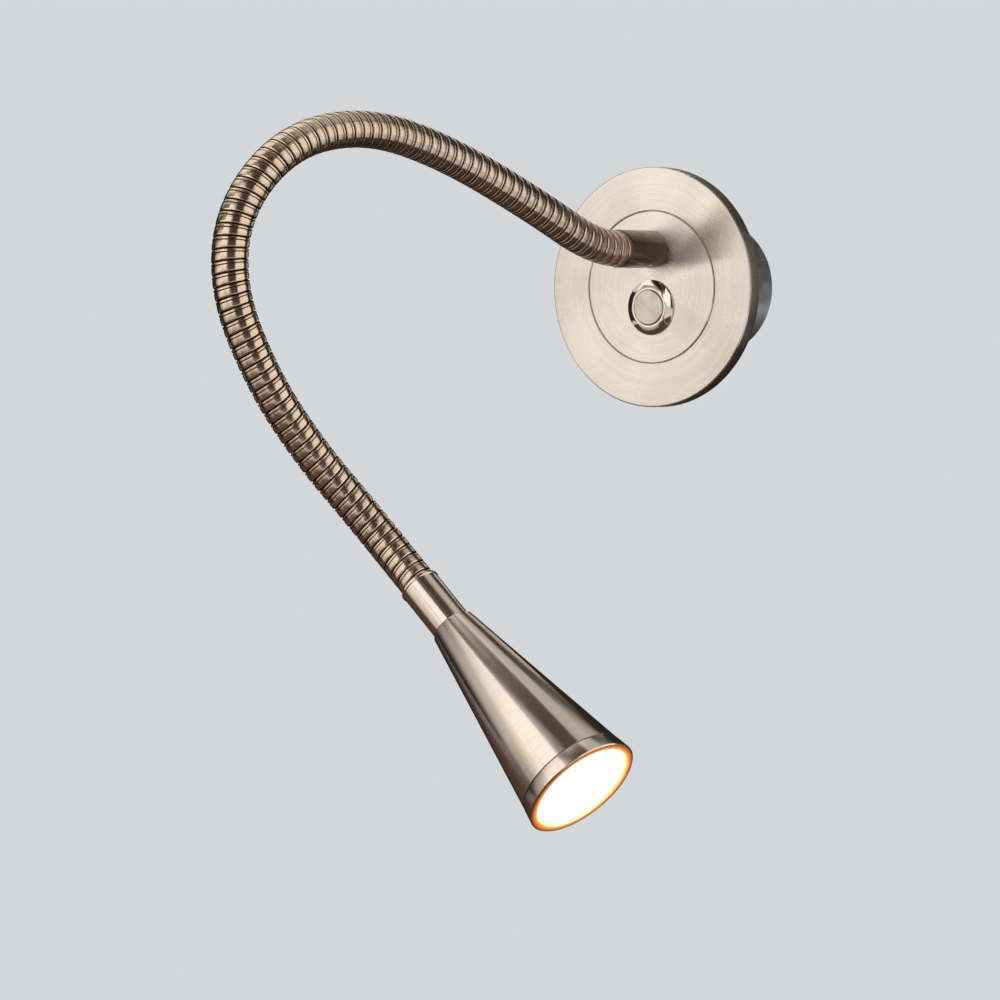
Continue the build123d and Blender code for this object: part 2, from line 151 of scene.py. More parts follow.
def drillHole(piece, place, start, end, look=screwHole):
    # a plain hole with a broken mouth, cut by a turned bit that stands past the surface
    radius, sink, past = look["radius"], look["sink"], end + look["past"]
    bit = turnedPiece("bit", [(start, 0.0), (start, radius), (end - sink, radius),
                              (end + sink, radius + 2 * sink), (past, radius + 2 * sink),
                              (past, 0.0)], place, segments=look["segments"], edge=0)
    cut = piece.modifiers.new("hole", "BOOLEAN")
    cut.operation = "DIFFERENCE"
    cut.solver = "EXACT"
    cut.object = bit
    applyModifiers(piece)
    bpy.data.objects.remove(bit)


def finishPiece(piece, material, body=None, replaced=(), smoothAngle=30):
    activate(piece)
    bpy.ops.object.shade_smooth_by_angle(angle=math.radians(smoothAngle))
    piece.data.materials.clear()
    piece.data.materials.append(material)
    if replaced:
        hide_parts(*replaced)
    if body:
        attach(piece, body)


# ---- places: the base faces the room along -Y, and the head has its own axis

neckRoute = [
    (0.0, -25.5, 12.6), (0.0, -38.0, 12.6), (-6.0, -64.5, 26.6), (-16.4, -100.2, 43.7),
    (-22.9, -134.8, 51.7), (-30.9, -164.8, 45.5), (-39.2, -181.9, 23.6), (-39.2, -184.7, -2.5),
    (-31.0, -176.5, -31.0), (-21.6, -164.5, -53.5), (-9.6, -154.0, -72.4), (0.6, -148.8, -86.3),
    (10.3, -149.5, -95.3),
]
routePoints = [Vector(point) * mm for point in neckRoute]
headAxis = (routePoints[-1] - routePoints[-2]).normalized()
steady = Vector((2, 0, 1))


def wallPlace(height):
    return frameAlong((0, 0, height * mm), (0, -1, 0), (1, 0, 0))


outletHeight = 12.6
switchHeight = -6.8
basePlace = wallPlace(0)
outletPlace = wallPlace(outletHeight)
switchPlace = wallPlace(switchHeight)
headPlace = frameAlong(routePoints[-1], headAxis, steady)


# ---- material building

def addNode(tree, kind, inputs=None, **settings):
    new = tree.nodes.new("ShaderNode" + kind)
    for key, value in settings.items():
        setattr(new, key, value)
    for socket, value in (inputs or {}).items():
        if isinstance(value, bpy.types.NodeSocket):
            tree.links.new(value, new.inputs[socket])
        else:
            new.inputs[socket].default_value = value
    return new


def mathNode(tree, operation, first, second=0.0):
    return addNode(tree, "Math", {0: first, 1: second}, operation=operation).outputs[0]


def spread(tree, value, low, high, fromLow=0.0, fromHigh=1.0):
    # maps a pattern's range onto a roughness, height or share
    return addNode(tree, "MapRange", {"Value": value, "From Min": fromLow, "From Max": fromHigh,
                                      "To Min": low, "To Max": high}).outputs[0]


def blendColour(tree, share, first, second):
    mix = addNode(tree, "Mix", {0: share}, data_type="RGBA")
    for socket, value in ((6, first), (7, second)):
        if isinstance(value, bpy.types.NodeSocket):
            tree.links.new(value, mix.inputs[socket])
        else:
            mix.inputs[socket].default_value = (*value, 1)
    return mix.outputs[2]


def noise(tree, point, scale, detail=2.0, roughness=0.5):
    return addNode(tree, "TexNoise", {"Vector": point, "Scale": scale, "Detail": detail,
                                      "Roughness": roughness}).outputs[0]


def newMaterial(name, metallic=0.0, **sockets):
    material = bpy.data.materials.new(name)
    material.use_nodes = True
    tree = material.node_tree
    tree.nodes.clear()
    shader = addNode(tree, "BsdfPrincipled", {"Metallic": metallic})
    for socket, value in sockets.items():
        shader.inputs[socket.replace("_", " ")].default_value = value
    addNode(tree, "OutputMaterial", {"Surface": shader.outputs[0]})
    return material, tree, shader


def localPoint(tree, place):
    # millimetres in the piece's own frame, from Object coordinates
    inverse = place.inverted()
    coordinates = addNode(tree, "TexCoord").outputs["Object"]
    return addNode(tree, "Mapping", {
        "Vector": coordinates,
        "Location": inverse.to_translation() / mm,
        "Rotation": inverse.to_euler("XYZ"),
        "Scale": (1 / mm, 1 / mm, 1 / mm),
    }).outputs[0]


def fromAxis(tree, point):
    # the point with its height taken out, and its distance from the piece's own axis
    flat = addNode(tree, "VectorMath", {0: point, 1: (1, 1, 0)}, operation="MULTIPLY").outputs[0]
    return flat, addNode(tree, "VectorMath", {0: flat}, operation="LENGTH").outputs["Value"]


def setBump(tree, shader, height, distance):
    bump = addNode(tree, "Bump", {"Height": height, "Distance": distance * mm, "Strength": 1.0})
    tree.links.new(bump.outputs[0], shader.inputs["Normal"])


brushedLook = {
    "light": (0.88, 0.775, 0.655),
    "dark": (0.74, 0.63, 0.515),
    "roughness": 0.19,
    "lineRoughness": 0.03,
    "smudgeRoughness": 0.02,
    "anisotropic": 0.95,
    "lineDepth": 0.0004,
    "streak": 5.0,
    "fineLines": 5.0,
    "coarseLines": 1.1,
    "coarseStreak": 0.4,
    "fineShare": 0.6,
    "lightShare": 0.55,
    "smudgeScale": 0.09,
}


def brushedNickel(name, place, look=brushedLook, wear=None, paintedSpill=None):
    # turning lines run round the piece's own axis: they carry tone, roughness and a shallow bump
    material, tree, shader = newMaterial(name, metallic=1.0, Anisotropic=look["anisotropic"],
                                         Anisotropic_Rotation=0.25)
    point = localPoint(tree, place)
    flat, radius = fromAxis(tree, point)
    heading = addNode(tree, "VectorMath", {0: flat}, operation="NORMALIZE").outputs[0]
    around = addNode(tree, "SeparateXYZ", {0: heading}).outputs
    along = addNode(tree, "SeparateXYZ", {0: point}).outputs["Z"]
    travel = mathNode(tree, "ADD", radius, along)

    def lines(perMillimetre, streak):
        spot = addNode(tree, "CombineXYZ", {
            "X": mathNode(tree, "MULTIPLY", around["X"], streak),
            "Y": mathNode(tree, "MULTIPLY", around["Y"], streak),
            "Z": mathNode(tree, "MULTIPLY", travel, perMillimetre),
        }).outputs[0]
        return noise(tree, spot, 1.0, 3.0, 0.6)

    fine = lines(look["fineLines"], look["streak"])
    coarse = lines(look["coarseLines"], look["streak"] * look["coarseStreak"])
    smudge = noise(tree, point, look["smudgeScale"], 3.0)
    both = mathNode(tree, "ADD", mathNode(tree, "MULTIPLY", fine, look["fineShare"]),
                    mathNode(tree, "MULTIPLY", coarse, 1 - look["fineShare"]))
    tone = blendColour(tree, spread(tree, both, 0, 1, 0.3, 0.7), look["dark"], look["light"])
    tone = blendColour(tree, look["lightShare"], tone, look["light"])
    roughness = mathNode(tree, "ADD",
                         spread(tree, both, look["roughness"] + look["lineRoughness"],
                                look["roughness"] - look["lineRoughness"], 0.25, 0.75),
                         spread(tree, smudge, -look["smudgeRoughness"], look["smudgeRoughness"],
                                0.3, 0.7))
    if wear:
        # small scratched specks where hands turn the piece
        specks = noise(tree, point, wear["scale"], 2.0)
        near = spread(tree, mathNode(tree, "ABSOLUTE",
                                     mathNode(tree, "SUBTRACT", along, wear["at"])),
                      1, 0, wear["full"], wear["reach"])
        share = mathNode(tree, "MULTIPLY", near,
                         spread(tree, specks, 0, 1, wear["from"], wear["to"]))
        tone = blendColour(tree, share, tone, wear["colour"])
        roughness = mathNode(tree, "ADD", roughness,
                             mathNode(tree, "MULTIPLY", share, wear["roughness"]))
    tree.links.new(tone, shader.inputs["Base Color"])
    tree.links.new(roughness, shader.inputs["Roughness"])
    setBump(tree, shader, both, look["lineDepth"])

    if paintedSpill:
        # painted glow: the lip round the lens gets its own warm emission, standing in for the
        # lit lens's light falling on it
        front = spread(tree, along, 0, 1, paintedSpill["behind"], paintedSpill["front"])
        close = spread(tree, radius, 1, 0, paintedSpill["from"], paintedSpill["middle"])
        near = spread(tree, radius, 1, 0, paintedSpill["middle"], paintedSpill["to"])
        warm = blendColour(tree, close, paintedSpill["far"], paintedSpill["close"])
        tree.links.new(blendColour(tree, mathNode(tree, "MULTIPLY", near, front), (0, 0, 0),
                                   warm), shader.inputs["Emission Color"])
        shader.inputs["Emission Strength"].default_value = paintedSpill["strength"]

    # the sheen is drawn out across the lines, so the tangent runs round the axis
    axis = place.to_3x3().col[2]
    coordinates = addNode(tree, "TexCoord").outputs["Object"]
    arm = addNode(tree, "VectorMath", {0: coordinates, 1: place.to_translation()},
                  operation="SUBTRACT").outputs[0]
    sweep = addNode(tree, "VectorMath", {0: axis, 1: arm}, operation="CROSS_PRODUCT").outputs[0]
    tangent = addNode(tree, "VectorTransform", {0: sweep}, vector_type="VECTOR",
                      convert_from="OBJECT", convert_to="WORLD").outputs[0]
    tree.links.new(tangent, shader.inputs["Tangent"])
    return material


grainLook = {"patchScale": 0.25, "speckScale": 3.2, "speckRoughness": 0.04}


def plainMetal(name, light, dark, roughness, depth=0.01, variation=0.06, look=grainLook):
    # plated or cast metal with a fine grain and slightly uneven tone
    material, tree, shader = newMaterial(name, metallic=1.0)
    point = localPoint(tree, basePlace)
    patches = noise(tree, point, look["patchScale"], 4.0, 0.6)
    specks = noise(tree, point, look["speckScale"], 2.0)
    tone = blendColour(tree, spread(tree, patches, 0, 1, 0.3, 0.7), dark, light)
    tree.links.new(tone, shader.inputs["Base Color"])
    tree.links.new(mathNode(tree, "ADD",
                            spread(tree, patches, roughness - variation, roughness + variation,
                                   0.3, 0.7),
                            spread(tree, specks, -look["speckRoughness"],
                                   look["speckRoughness"])), shader.inputs["Roughness"])
    setBump(tree, shader, specks, depth)
    return material


mouldLook = {"patchScale": 0.15, "textureScale": 4.5, "variation": 0.08, "depth": 0.02}


def mouldedPlastic(name, light, dark, roughness, look=mouldLook):
    material, tree, shader = newMaterial(name)
    point = localPoint(tree, basePlace)
    patches = noise(tree, point, look["patchScale"], 3.0)
    texture = noise(tree, point, look["textureScale"], 3.0, 0.6)
    tree.links.new(blendColour(tree, spread(tree, patches, 0, 1, 0.3, 0.7), dark, light),
                   shader.inputs["Base Color"])
    tree.links.new(spread(tree, texture, roughness - look["variation"],
                          roughness + look["variation"], 0.3, 0.7), shader.inputs["Roughness"])
    setBump(tree, shader, texture, look["depth"])
    return material


baseNickel = brushedNickel("nickel turned round the base", basePlace,
                           {**brushedLook, "roughness": 0.27, "anisotropic": 1.0,
                            "streak": 1.8, "lineDepth": 0.0002,
                            "light": (0.98, 0.895, 0.795), "dark": (0.86, 0.765, 0.655)})
# painted shade: the collar is the same nickel as the other turned parts, with its colour
# darkened to a deep brown to stand in for the dark surroundings it reflects
collarNickelPaintedShade = brushedNickel("collar nickel darkened with painted shade", outletPlace,
                             {**brushedLook, "roughness": 0.2, "anisotropic": 0.6,
                              "light": (0.23, 0.165, 0.12), "dark": (0.15, 0.105, 0.075)})
capNickel = brushedNickel("nickel turned round the button", switchPlace,
                          {**brushedLook, "fineLines": 9.0, "roughness": 0.33, "streak": 7.0,
                           "anisotropic": 1.0, "light": (0.92, 0.83, 0.71)})
headNickel = brushedNickel("nickel turned round the head", headPlace, wear={
    "at": 19.0, "full": 6.4, "reach": 16.0, "scale": 1.1, "from": 0.7, "to": 0.75,
    "colour": (0.20, 0.15, 0.10), "roughness": 0.2})
# the front ring carries a painted glow of the lens's light on its lip
bezelNickelPaintedGlow = brushedNickel("front ring nickel with painted glow", headPlace, paintedSpill={
    "from": 16.8, "middle": 17.7, "to": 19.2, "behind": 90.7, "front": 91.0,
    "close": (1.0, 0.62, 0.22), "far": (0.75, 0.20, 0.03), "strength": 1.3})
polishedNickel = plainMetal("polished nickel", (0.86, 0.76, 0.66), (0.80, 0.70, 0.60), 0.07,
                            depth=0.001, variation=0.02)
zincSteel = plainMetal("zinc plated steel", (0.62, 0.63, 0.64), (0.46, 0.47, 0.49), 0.38)
yellowZinc = plainMetal("yellow zinc", (0.70, 0.58, 0.30), (0.52, 0.45, 0.30), 0.34)
darkSteel = plainMetal("blackened steel", (0.09, 0.085, 0.08), (0.05, 0.048, 0.045), 0.40)
magnetNickel = plainMetal("magnet nickel", (0.72, 0.71, 0.68), (0.60, 0.59, 0.56), 0.22)
aluminium = plainMetal("milled aluminium", (0.80, 0.81, 0.82), (0.66, 0.67, 0.69), 0.36)
brightReflector = plainMetal("bright reflector", (0.90, 0.90, 0.89), (0.84, 0.84, 0.83), 0.12)
blackRubber = mouldedPlastic("black rubber", (0.030, 0.030, 0.031), (0.018, 0.018, 0.019), 0.62)
whitePlastic = mouldedPlastic("white plastic", (0.80, 0.80, 0.77), (0.72, 0.72, 0.69), 0.42)
print("materials ready")


# ---- lit parts

lensGlow = {
    "radius": 16.65,
    "middle": (1.0, 0.93, 0.80),
    "edge": (0.75, 0.42, 0.12),
    "edgeFrom": 15.5,
    "strength": 1.9,
    "roughness": 0.25,
    "frostScale": 2.0,
    "frostDepth": 0.004,
    "frostDark": (0.86, 0.84, 0.80),
    "frostLight": (0.92, 0.91, 0.88),
}


def glowing(name, look):
    material, tree, shader = newMaterial(name, Roughness=look["roughness"])
    point = localPoint(tree, headPlace)
    radius = fromAxis(tree, point)[1]
    rim = spread(tree, radius, 0, 1, look["edgeFrom"], look["radius"])
    frosting = noise(tree, point, look["frostScale"], 2.0)
    tree.links.new(blendColour(tree, rim, look["middle"], look["edge"]),
                   shader.inputs["Emission Color"])
    tree.links.new(blendColour(tree, frosting, look["frostDark"], look["frostLight"]),
                   shader.inputs["Base Color"])
    shader.inputs["Emission Strength"].default_value = look["strength"]
    setBump(tree, shader, frosting, look["frostDepth"])
    return material


litLens = glowing("lit lens", lensGlow)
ledGlow = glowing("led glow", {**lensGlow, "strength": 2.0})


# ---- wall base

ringLook = {
    # dished ring: flat brushed face, broken outer edge, hollow back
    "section": [
        (4.0, 25.45), (5.22, 25.45), (5.5, 25.73), (5.5, 39.62), (5.12, 40.0),
        (0.3, 40.0), (0.3, 38.5), (4.0, 38.5),
    ],
    "segments": 192,
    "edge": 0.12,
}


def turnRing(look=ringLook):
    ring = turnedPiece("trimRing", look["section"], basePlace, look["segments"], look["edge"])
    finishPiece(ring, baseNickel, "trim_ring", ["trim_ring"])


collarLook = {
    "section": [
        (5.5, 5.95), (5.5, 6.3), (25.3, 6.3), (25.5, 6.1), (25.5, 3.95), (33.5, 3.95),
        (33.5, 2.7), (19.6, 2.7), (19.6, 4.94), (6.6, 4.94), (6.6, 5.95),
    ],
    "segments": 128,
    "edge": 0.1,
    "screwAt": 10.5,
    "screwTurn": 20,  # degrees from straight down, towards the right
    "hole": (4.0, 6.3),
}


def turnCollar(look=collarLook):
    collar = turnedPiece("neckCollar", look["section"], outletPlace, look["segments"],
                         look["edge"])
    turn = math.radians(look["screwTurn"])
    screwPlace = frameAlong((0, -look["screwAt"] * mm, outletHeight * mm),
                            (math.sin(turn), 0, -math.cos(turn)), (0, -1, 0))
    drillHole(collar, screwPlace, *look["hole"])
    # the collar takes the nickel darkened with painted shade
    finishPiece(collar, collarNickelPaintedShade, "wall_base", ["neck_collar"])


switchLook = {
    # bright chamfer and a narrow flat rim round the well of the button
    "bezel": [
        (-14.0, 0.0), (-14.0, 7.5), (-13.5, 8.0), (5.5, 8.0), (5.5, 9.1), (5.75, 9.25),
        (6.02, 9.12), (7.14, 6.66), (7.14, 6.1), (6.9, 5.85), (3.0, 5.85), (3.0, 3.0),
        (-6.0, 3.0), (-6.0, 0.0),
    ],
    "button": [
        (-2.0, 0.0), (-2.0, 2.85), (4.6, 2.85), (4.6, 5.7), (7.3, 5.7), (7.5, 5.5), (7.5, 0.0),
    ],
    "segments": 96,
    "edge": 0.06,
}


def turnSwitch(look=switchLook):
    bezel = turnedPiece("switchBezel", look["bezel"], switchPlace, look["segments"],
                        look["edge"])
    finishPiece(bezel, polishedNickel, "wall_base", ["switch_body"])
    button = turnedPiece("switchButton", look["button"], switchPlace, look["segments"],
                         look["edge"])
    finishPiece(button, capNickel, "push_button", ["switch_cap"])


turnRing()
turnCollar()
turnSwitch()
print("wall base turned")


# ---- head

headLook = {
    "ferrule": [
        (-8.0, 2.7), (-8.0, 3.95), (0.0, 3.95), (0.0, 6.5), (0.25, 6.75), (0.95, 6.75),
        (1.2, 6.5), (18.78, 6.5), (18.93, 6.3), (18.93, 4.0), (27.5, 4.0), (27.5, 2.4),
        (17.0, 2.4), (16.0, 2.7),
    ],
    "cone": [
        (19.2, 4.05), (19.2, 7.0), (19.42, 7.3), (85.6, 18.4), (85.6, 16.9),
        (22.15, 6.25), (22.15, 4.05),
    ],
    "bezel": [
        (79.4, 14.7), (79.4, 15.8), (85.7, 15.8), (85.7, 17.5), (85.9, 17.5), (85.9, 18.4),
        (86.05, 18.55), (90.9, 19.47), (91.3, 19.08), (91.3, 17.1), (91.0, 16.75),
        (88.7, 16.75), (88.7, 14.7),
    ],
    "ferruleSegments": 96,
    "segments": 160,
    "edge": 0.08,
    "screwAt": 9,
    "hole": (2.0, 6.5),
}


def turnHead(look=headLook):
    piece = turnedPiece("headFerrule", look["ferrule"], headPlace, look["ferruleSegments"],
                        look["edge"])
    side = headPlace.to_3x3().col[0]
    screwPlace = frameAlong(headPlace @ Vector((0, 0, look["screwAt"] * mm)), -side, headAxis)
    drillHole(piece, screwPlace, *look["hole"])
    finishPiece(piece, headNickel, "head", ["head_ferrule"])
    for name, section, metal, node in (("coneShell", "cone", headNickel, "cone_shell"),
                                       ("frontBezel", "bezel", bezelNickelPaintedGlow, "front_bezel")):
        piece = turnedPiece(name, look[section], headPlace, look["segments"], look["edge"])
        finishPiece(piece, metal, "head", [node])


lensLook = {"back": 89.2, "rim": 90.5, "radius": 16.65, "crown": 0.6, "steps": 14,
            "segments": 128}


def turnLens(look=lensLook):
    # low dome from an arc of points, seated on the seal
    shares = [1 - i / look["steps"] for i in range(look["steps"] + 1)]
    dome = [(look["rim"] + look["crown"] * (1 - share ** 2), look["radius"] * share)
            for share in shares]
    points = [(look["back"], 0.0), (look["back"], look["radius"])] + dome
    piece = turnedPiece("frontLens", points, headPlace, look["segments"], edge=0)
    finishPiece(piece, litLens, "head", ["lens"], smoothAngle=40)


turnHead()
turnLens()
print("head turned")


# ---- neck: one metal strip wound as a right-handed helix, one piece of it for each joint

neckLook = {
    "pitch": 3.70,
    "turns": 6,
    "stepsPerTurn": 40,
    "firstHinge": 13.95,
    "length": 316.62,
    "bendReach": 8.3,
    "inner": 4.5,
    "grainRound": 10,
    "section": [
        (0.04, 5.48), (0.18, 5.48), (0.26, 5.72), (0.34, 5.86), (0.46, 5.92), (0.78, 5.96),
        (0.90, 5.95), (0.98, 5.87), (1.03, 5.72), (1.07, 5.58), (1.16, 5.58), (1.22, 5.76),
        (1.32, 5.90), (1.50, 5.95), (2.10, 5.97), (2.90, 5.97), (3.22, 5.95), (3.36, 5.89),
        (3.46, 5.76), (3.54, 5.48), (3.68, 5.48),
    ],
}


def routeCurve(name, points, resolution=48):
    data = bpy.data.curves.new(name, "CURVE")
    data.dimensions = "3D"
    data.resolution_u = data.render_resolution_u = resolution
    spline = data.splines.new("NURBS")
    spline.points.add(len(points) - 1)
    for target, point in zip(spline.points, points):
        target.co = (*point, 1)
    spline.order_u = 3
    spline.use_endpoint_u = True
    curve = bpy.data.objects.new(name, data)
    bpy.context.scene.collection.objects.link(curve)
    return curve


# turns a mesh made along Z so that it runs along X, as the curve wants it
ontoX = Matrix(((0, 0, 1, 0), (1, 0, 0, 0), (0, 1, 0, 0), (0, 0, 0, 1)))


def layAlong(piece, curve):
    bend = piece.modifiers.new("bend", "CURVE")
    bend.object = curve
    bend.deform_axis = "POS_X"
    applyModifiers(piece)


def woundStrip(name, start, turns, look=neckLook):
    # the section is screwed forward by whole turns, then laid down from Z onto X
    section = [(start + along, radius) for along, radius in look["section"]]
    section += [(start + look["section"][-1][0], look["inner"]),
                (start + look["section"][0][0], look["inner"])]
    piece = profileWire(name, section)
    across = piece.data.attributes.new("across", "FLOAT", "POINT")
    for spot, vertex in zip(across.data, piece.data.vertices):
        spot.value = vertex.co.z / mm - start
    wind = piece.modifiers.new("wind", "SCREW")
    wind.axis = "Z"
    wind.steps = wind.render_steps = look["stepsPerTurn"]
    wind.screw_offset = look["pitch"] * mm
    wind.iterations = turns
    applyModifiers(piece)
    closeEnds(piece)
    placeMesh(piece, ontoX)
    return piece


def cutFlat(piece, distance, keepBefore):
    activate(piece)
    bpy.ops.object.mode_set(mode="EDIT")
    bpy.ops.mesh.select_all(action="SELECT")
    bpy.ops.mesh.bisect(plane_co=(distance * mm, 0, 0), plane_no=(1, 0, 0), use_fill=True,
                        clear_outer=keepBefore, clear_inner=not keepBefore)
    bpy.ops.object.mode_set(mode="OBJECT")


def noteStraight(piece, look=neckLook):
    # the unbent place of each point, in mm, which the finish follows
    straight = piece.data.attributes.new("straight", "FLOAT_VECTOR", "POINT")
    for spot, vertex in zip(straight.data, piece.data.vertices):
        spot.vector = vertex.co / mm
    # and a map with U round the neck and V along it, which gives the grain its heading
    grain = piece.data.uv_layers.new(name="grain")
    for face in piece.data.polygons:
        before = None
        for loop in face.loop_indices:
            x, y, z = piece.data.vertices[piece.data.loops[loop].vertex_index].co / mm
            turn = math.atan2(y, z) / math.tau
            if before is not None:
                turn += round(before - turn)
            before = turn
            grain.data[loop].uv = (turn * look["grainRound"], x / look["pitch"])


def neckFinish(name, look):
    # drawn strip: fine lines along it, darker where the turns meet, from grime together with
    # painted shade in the grooves
    material, tree, shader = newMaterial(name, metallic=1.0, Anisotropic=look["anisotropic"],
                                         Anisotropic_Rotation=0.25)
    heading = addNode(tree, "Tangent", direction_type="UV_MAP", uv_map="grain").outputs[0]
    tree.links.new(heading, shader.inputs["Tangent"])
    straight = addNode(tree, "Attribute", attribute_name="straight").outputs["Vector"]
    across = addNode(tree, "Attribute", attribute_name="across").outputs["Fac"]
    parts = addNode(tree, "SeparateXYZ", {0: straight}).outputs
    arm = addNode(tree, "CombineXYZ", {"X": parts["Y"], "Y": parts["Z"]}).outputs[0]
    radius = addNode(tree, "VectorMath", {0: arm}, operation="LENGTH").outputs["Value"]
    spot = addNode(tree, "CombineXYZ", {
        "X": mathNode(tree, "MULTIPLY", across, look["lines"]),
        "Y": mathNode(tree, "MULTIPLY", parts["Y"], look["lineDrift"]),
        "Z": mathNode(tree, "MULTIPLY", parts["Z"], look["lineDrift"]),
    }).outputs[0]
    lines = noise(tree, spot, 1.0, 3.0, 0.6)
    smudge = noise(tree, straight, look["smudgeScale"], 3.0)
    # the deeper in a groove, the darker the tone: grime and painted shade together
    low = spread(tree, radius, 1, 0, look["groove"], look["crown"])
    ridge = mathNode(tree, "SINE", mathNode(tree, "MULTIPLY", across, math.tau / look["ridge"]))
    tone = blendColour(tree, spread(tree, lines, 0, 1, 0.3, 0.7), look["dark"], look["light"])
    tone = blendColour(tree, spread(tree, ridge, 0, look["ridgeTone"], 0.0, 1.0), tone,
                       look["dark"])
    tone = blendColour(tree, low, tone, look["grimeAndShade"])
    tree.links.new(tone, shader.inputs["Base Color"])
    sheen = mathNode(tree, "ADD",
                     spread(tree, lines, look["roughness"] + look["lineRoughness"],
                            look["roughness"] - look["lineRoughness"], 0.3, 0.7),
                     spread(tree, smudge, -look["smudgeRoughness"], look["smudgeRoughness"],
                            0.3, 0.7))
    worn = mathNode(tree, "MULTIPLY", low, look["grimeRoughness"])
    tree.links.new(mathNode(tree, "ADD", sheen, worn), shader.inputs["Roughness"])
    setBump(tree, shader, ridge, look["ridgeDepth"])
    return material


neckMetal = neckFinish("neck strip", {
    "light": (0.98, 0.85, 0.69), "dark": (0.68, 0.49, 0.34), "grimeAndShade": (0.030, 0.015, 0.007),
    "roughness": 0.21, "anisotropic": 0.9, "lines": 2.6, "groove": 5.58, "crown": 5.76,
    "ridge": 0.42, "ridgeTone": 0.4, "ridgeDepth": 0.004, "lineDrift": 0.03,
    "smudgeScale": 0.12, "lineRoughness": 0.015, "smudgeRoughness": 0.02,
    "grimeRoughness": 0.25,
})
hinges = [Vector(joints[f"neck_bend_{i:02d}"]["pos_m"]) for i in range(1, 15)]


def bendAcross(piece):
    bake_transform(piece)


def windNeck(look=neckLook):
    curve = routeCurve("neckRoute", routePoints)
    step = look["pitch"] * look["turns"]
    first = look["firstHinge"] - (look["turns"] + 1) / 2 * look["pitch"]
    model = woundStrip("neckStrip", first, look["turns"])
    for index in range(len(hinges)):
        atEnd = index in (0, len(hinges) - 1)
        if atEnd:
            extra = -2 * look["pitch"] if index == 0 else 0
            piece = woundStrip("neckStrip", first + index * step + extra, look["turns"] + 2)
            cutFlat(piece, look["length"] if index else 0.0, keepBefore=index > 0)
        else:
            piece = model.copy()
            piece.data = model.data.copy()
            bpy.context.scene.collection.objects.link(piece)
            placeMesh(piece, Matrix.Translation((index * step * mm, 0, 0)))
        piece.name = f"neckStrip{index:02d}"
        noteStraight(piece)
        layAlong(piece, curve)
        replaced = [f"neck_link_{index:02d}"] + (["neck_link_14"] if index == 13 else [])
        finishPiece(piece, neckMetal, replaced=replaced, smoothAngle=35)
        bendAcross(piece)
    bpy.data.objects.remove(model)
    bpy.data.objects.remove(curve)


windNeck()
print("neck wound")


# ---- the lead inside the neck, from the cup behind the base to the lamp in the head

leadLook = {"radius": 1.9, "rear": (0.0, 9.0, 12.6), "inHead": 62.0, "ring": 1.83,
            "segments": 16}


def leadStretch(name, start, end, look=leadLook):
    count = round((end - start) / look["ring"])
    side = [(start + (end - start) * i / count, look["radius"]) for i in range(count + 1)]
    piece = turnedPiece(name, [(start, 0.0)] + side + [(end, 0.0)], Matrix.Identity(4),
                        look["segments"], edge=0)
    placeMesh(piece, ontoX)
    return piece


def threadLead(look=leadLook):
    rear = Vector(look["rear"]) * mm
    front = routePoints[-1] + headAxis * look["inHead"] * mm
    curve = routeCurve("leadRoute", [rear] + routePoints + [front])
    behind = (rear - routePoints[0]).length / mm
    step = neckLook["pitch"] * neckLook["turns"]
    for index in range(len(hinges)):
        middle = behind + neckLook["firstHinge"] + index * step
        start = 0.0 if index == 0 else middle - step / 2
        end = middle + step / 2
        if index == len(hinges) - 1:
            end = behind + neckLook["length"] + look["inHead"]
        piece = leadStretch(f"neckLead{index:02d}", start, end)
        layAlong(piece, curve)
        finishPiece(piece, blackRubber, replaced=["neck_lead"])
        bendAcross(piece)
    bpy.data.objects.remove(curve)


threadLead()
print("lead threaded")


# ---- the return spring under the switch button, wound at its rest length, though the real one gets shorter as the button goes in

springLook = {"wire": 0.28, "turns": 6, "steps": 24, "wireSides": 8}


def windSpring(look=springLook):
    # the coil fills the room of the plain sleeve in the CAD, from its rear end to the button
    places = [vertex.co for vertex in nodes["switch_spring"].data.vertices]
    low = Vector([min(values) for values in zip(*places)])
    high = Vector([max(values) for values in zip(*places)])
    middle, wire = (low + high) / 2, look["wire"] * mm
    rear, front = Vector((middle.x, high.y, middle.z)), Vector((middle.x, low.y, middle.z))
    deselectAll()
    bpy.ops.mesh.primitive_circle_add(vertices=look["wireSides"], radius=wire,
                                      location=((high.x - low.x) / 2 - wire, 0, wire),
                                      rotation=(math.radians(90), 0, 0))
    piece = bpy.context.active_object
    piece.name = "returnSpring"
    bpy.ops.object.transform_apply(location=True, rotation=True, scale=True)
    coil = piece.modifiers.new("coil", "SCREW")
    coil.axis = "Z"
    coil.steps = coil.render_steps = look["steps"]
    coil.iterations = look["turns"]
    coil.screw_offset = (high.y - low.y - 2 * wire) / look["turns"]
    applyModifiers(piece)
    closeEnds(piece)
    placeMesh(piece, Matrix.Translation(rear) @ Matrix.Rotation(math.radians(90), 4, "X"))
    finishPiece(piece, darkSteel, replaced=["switch_spring"])
    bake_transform(piece)


windSpring()
print("spring wound")


# ---- finishes of the CAD pieces that stay

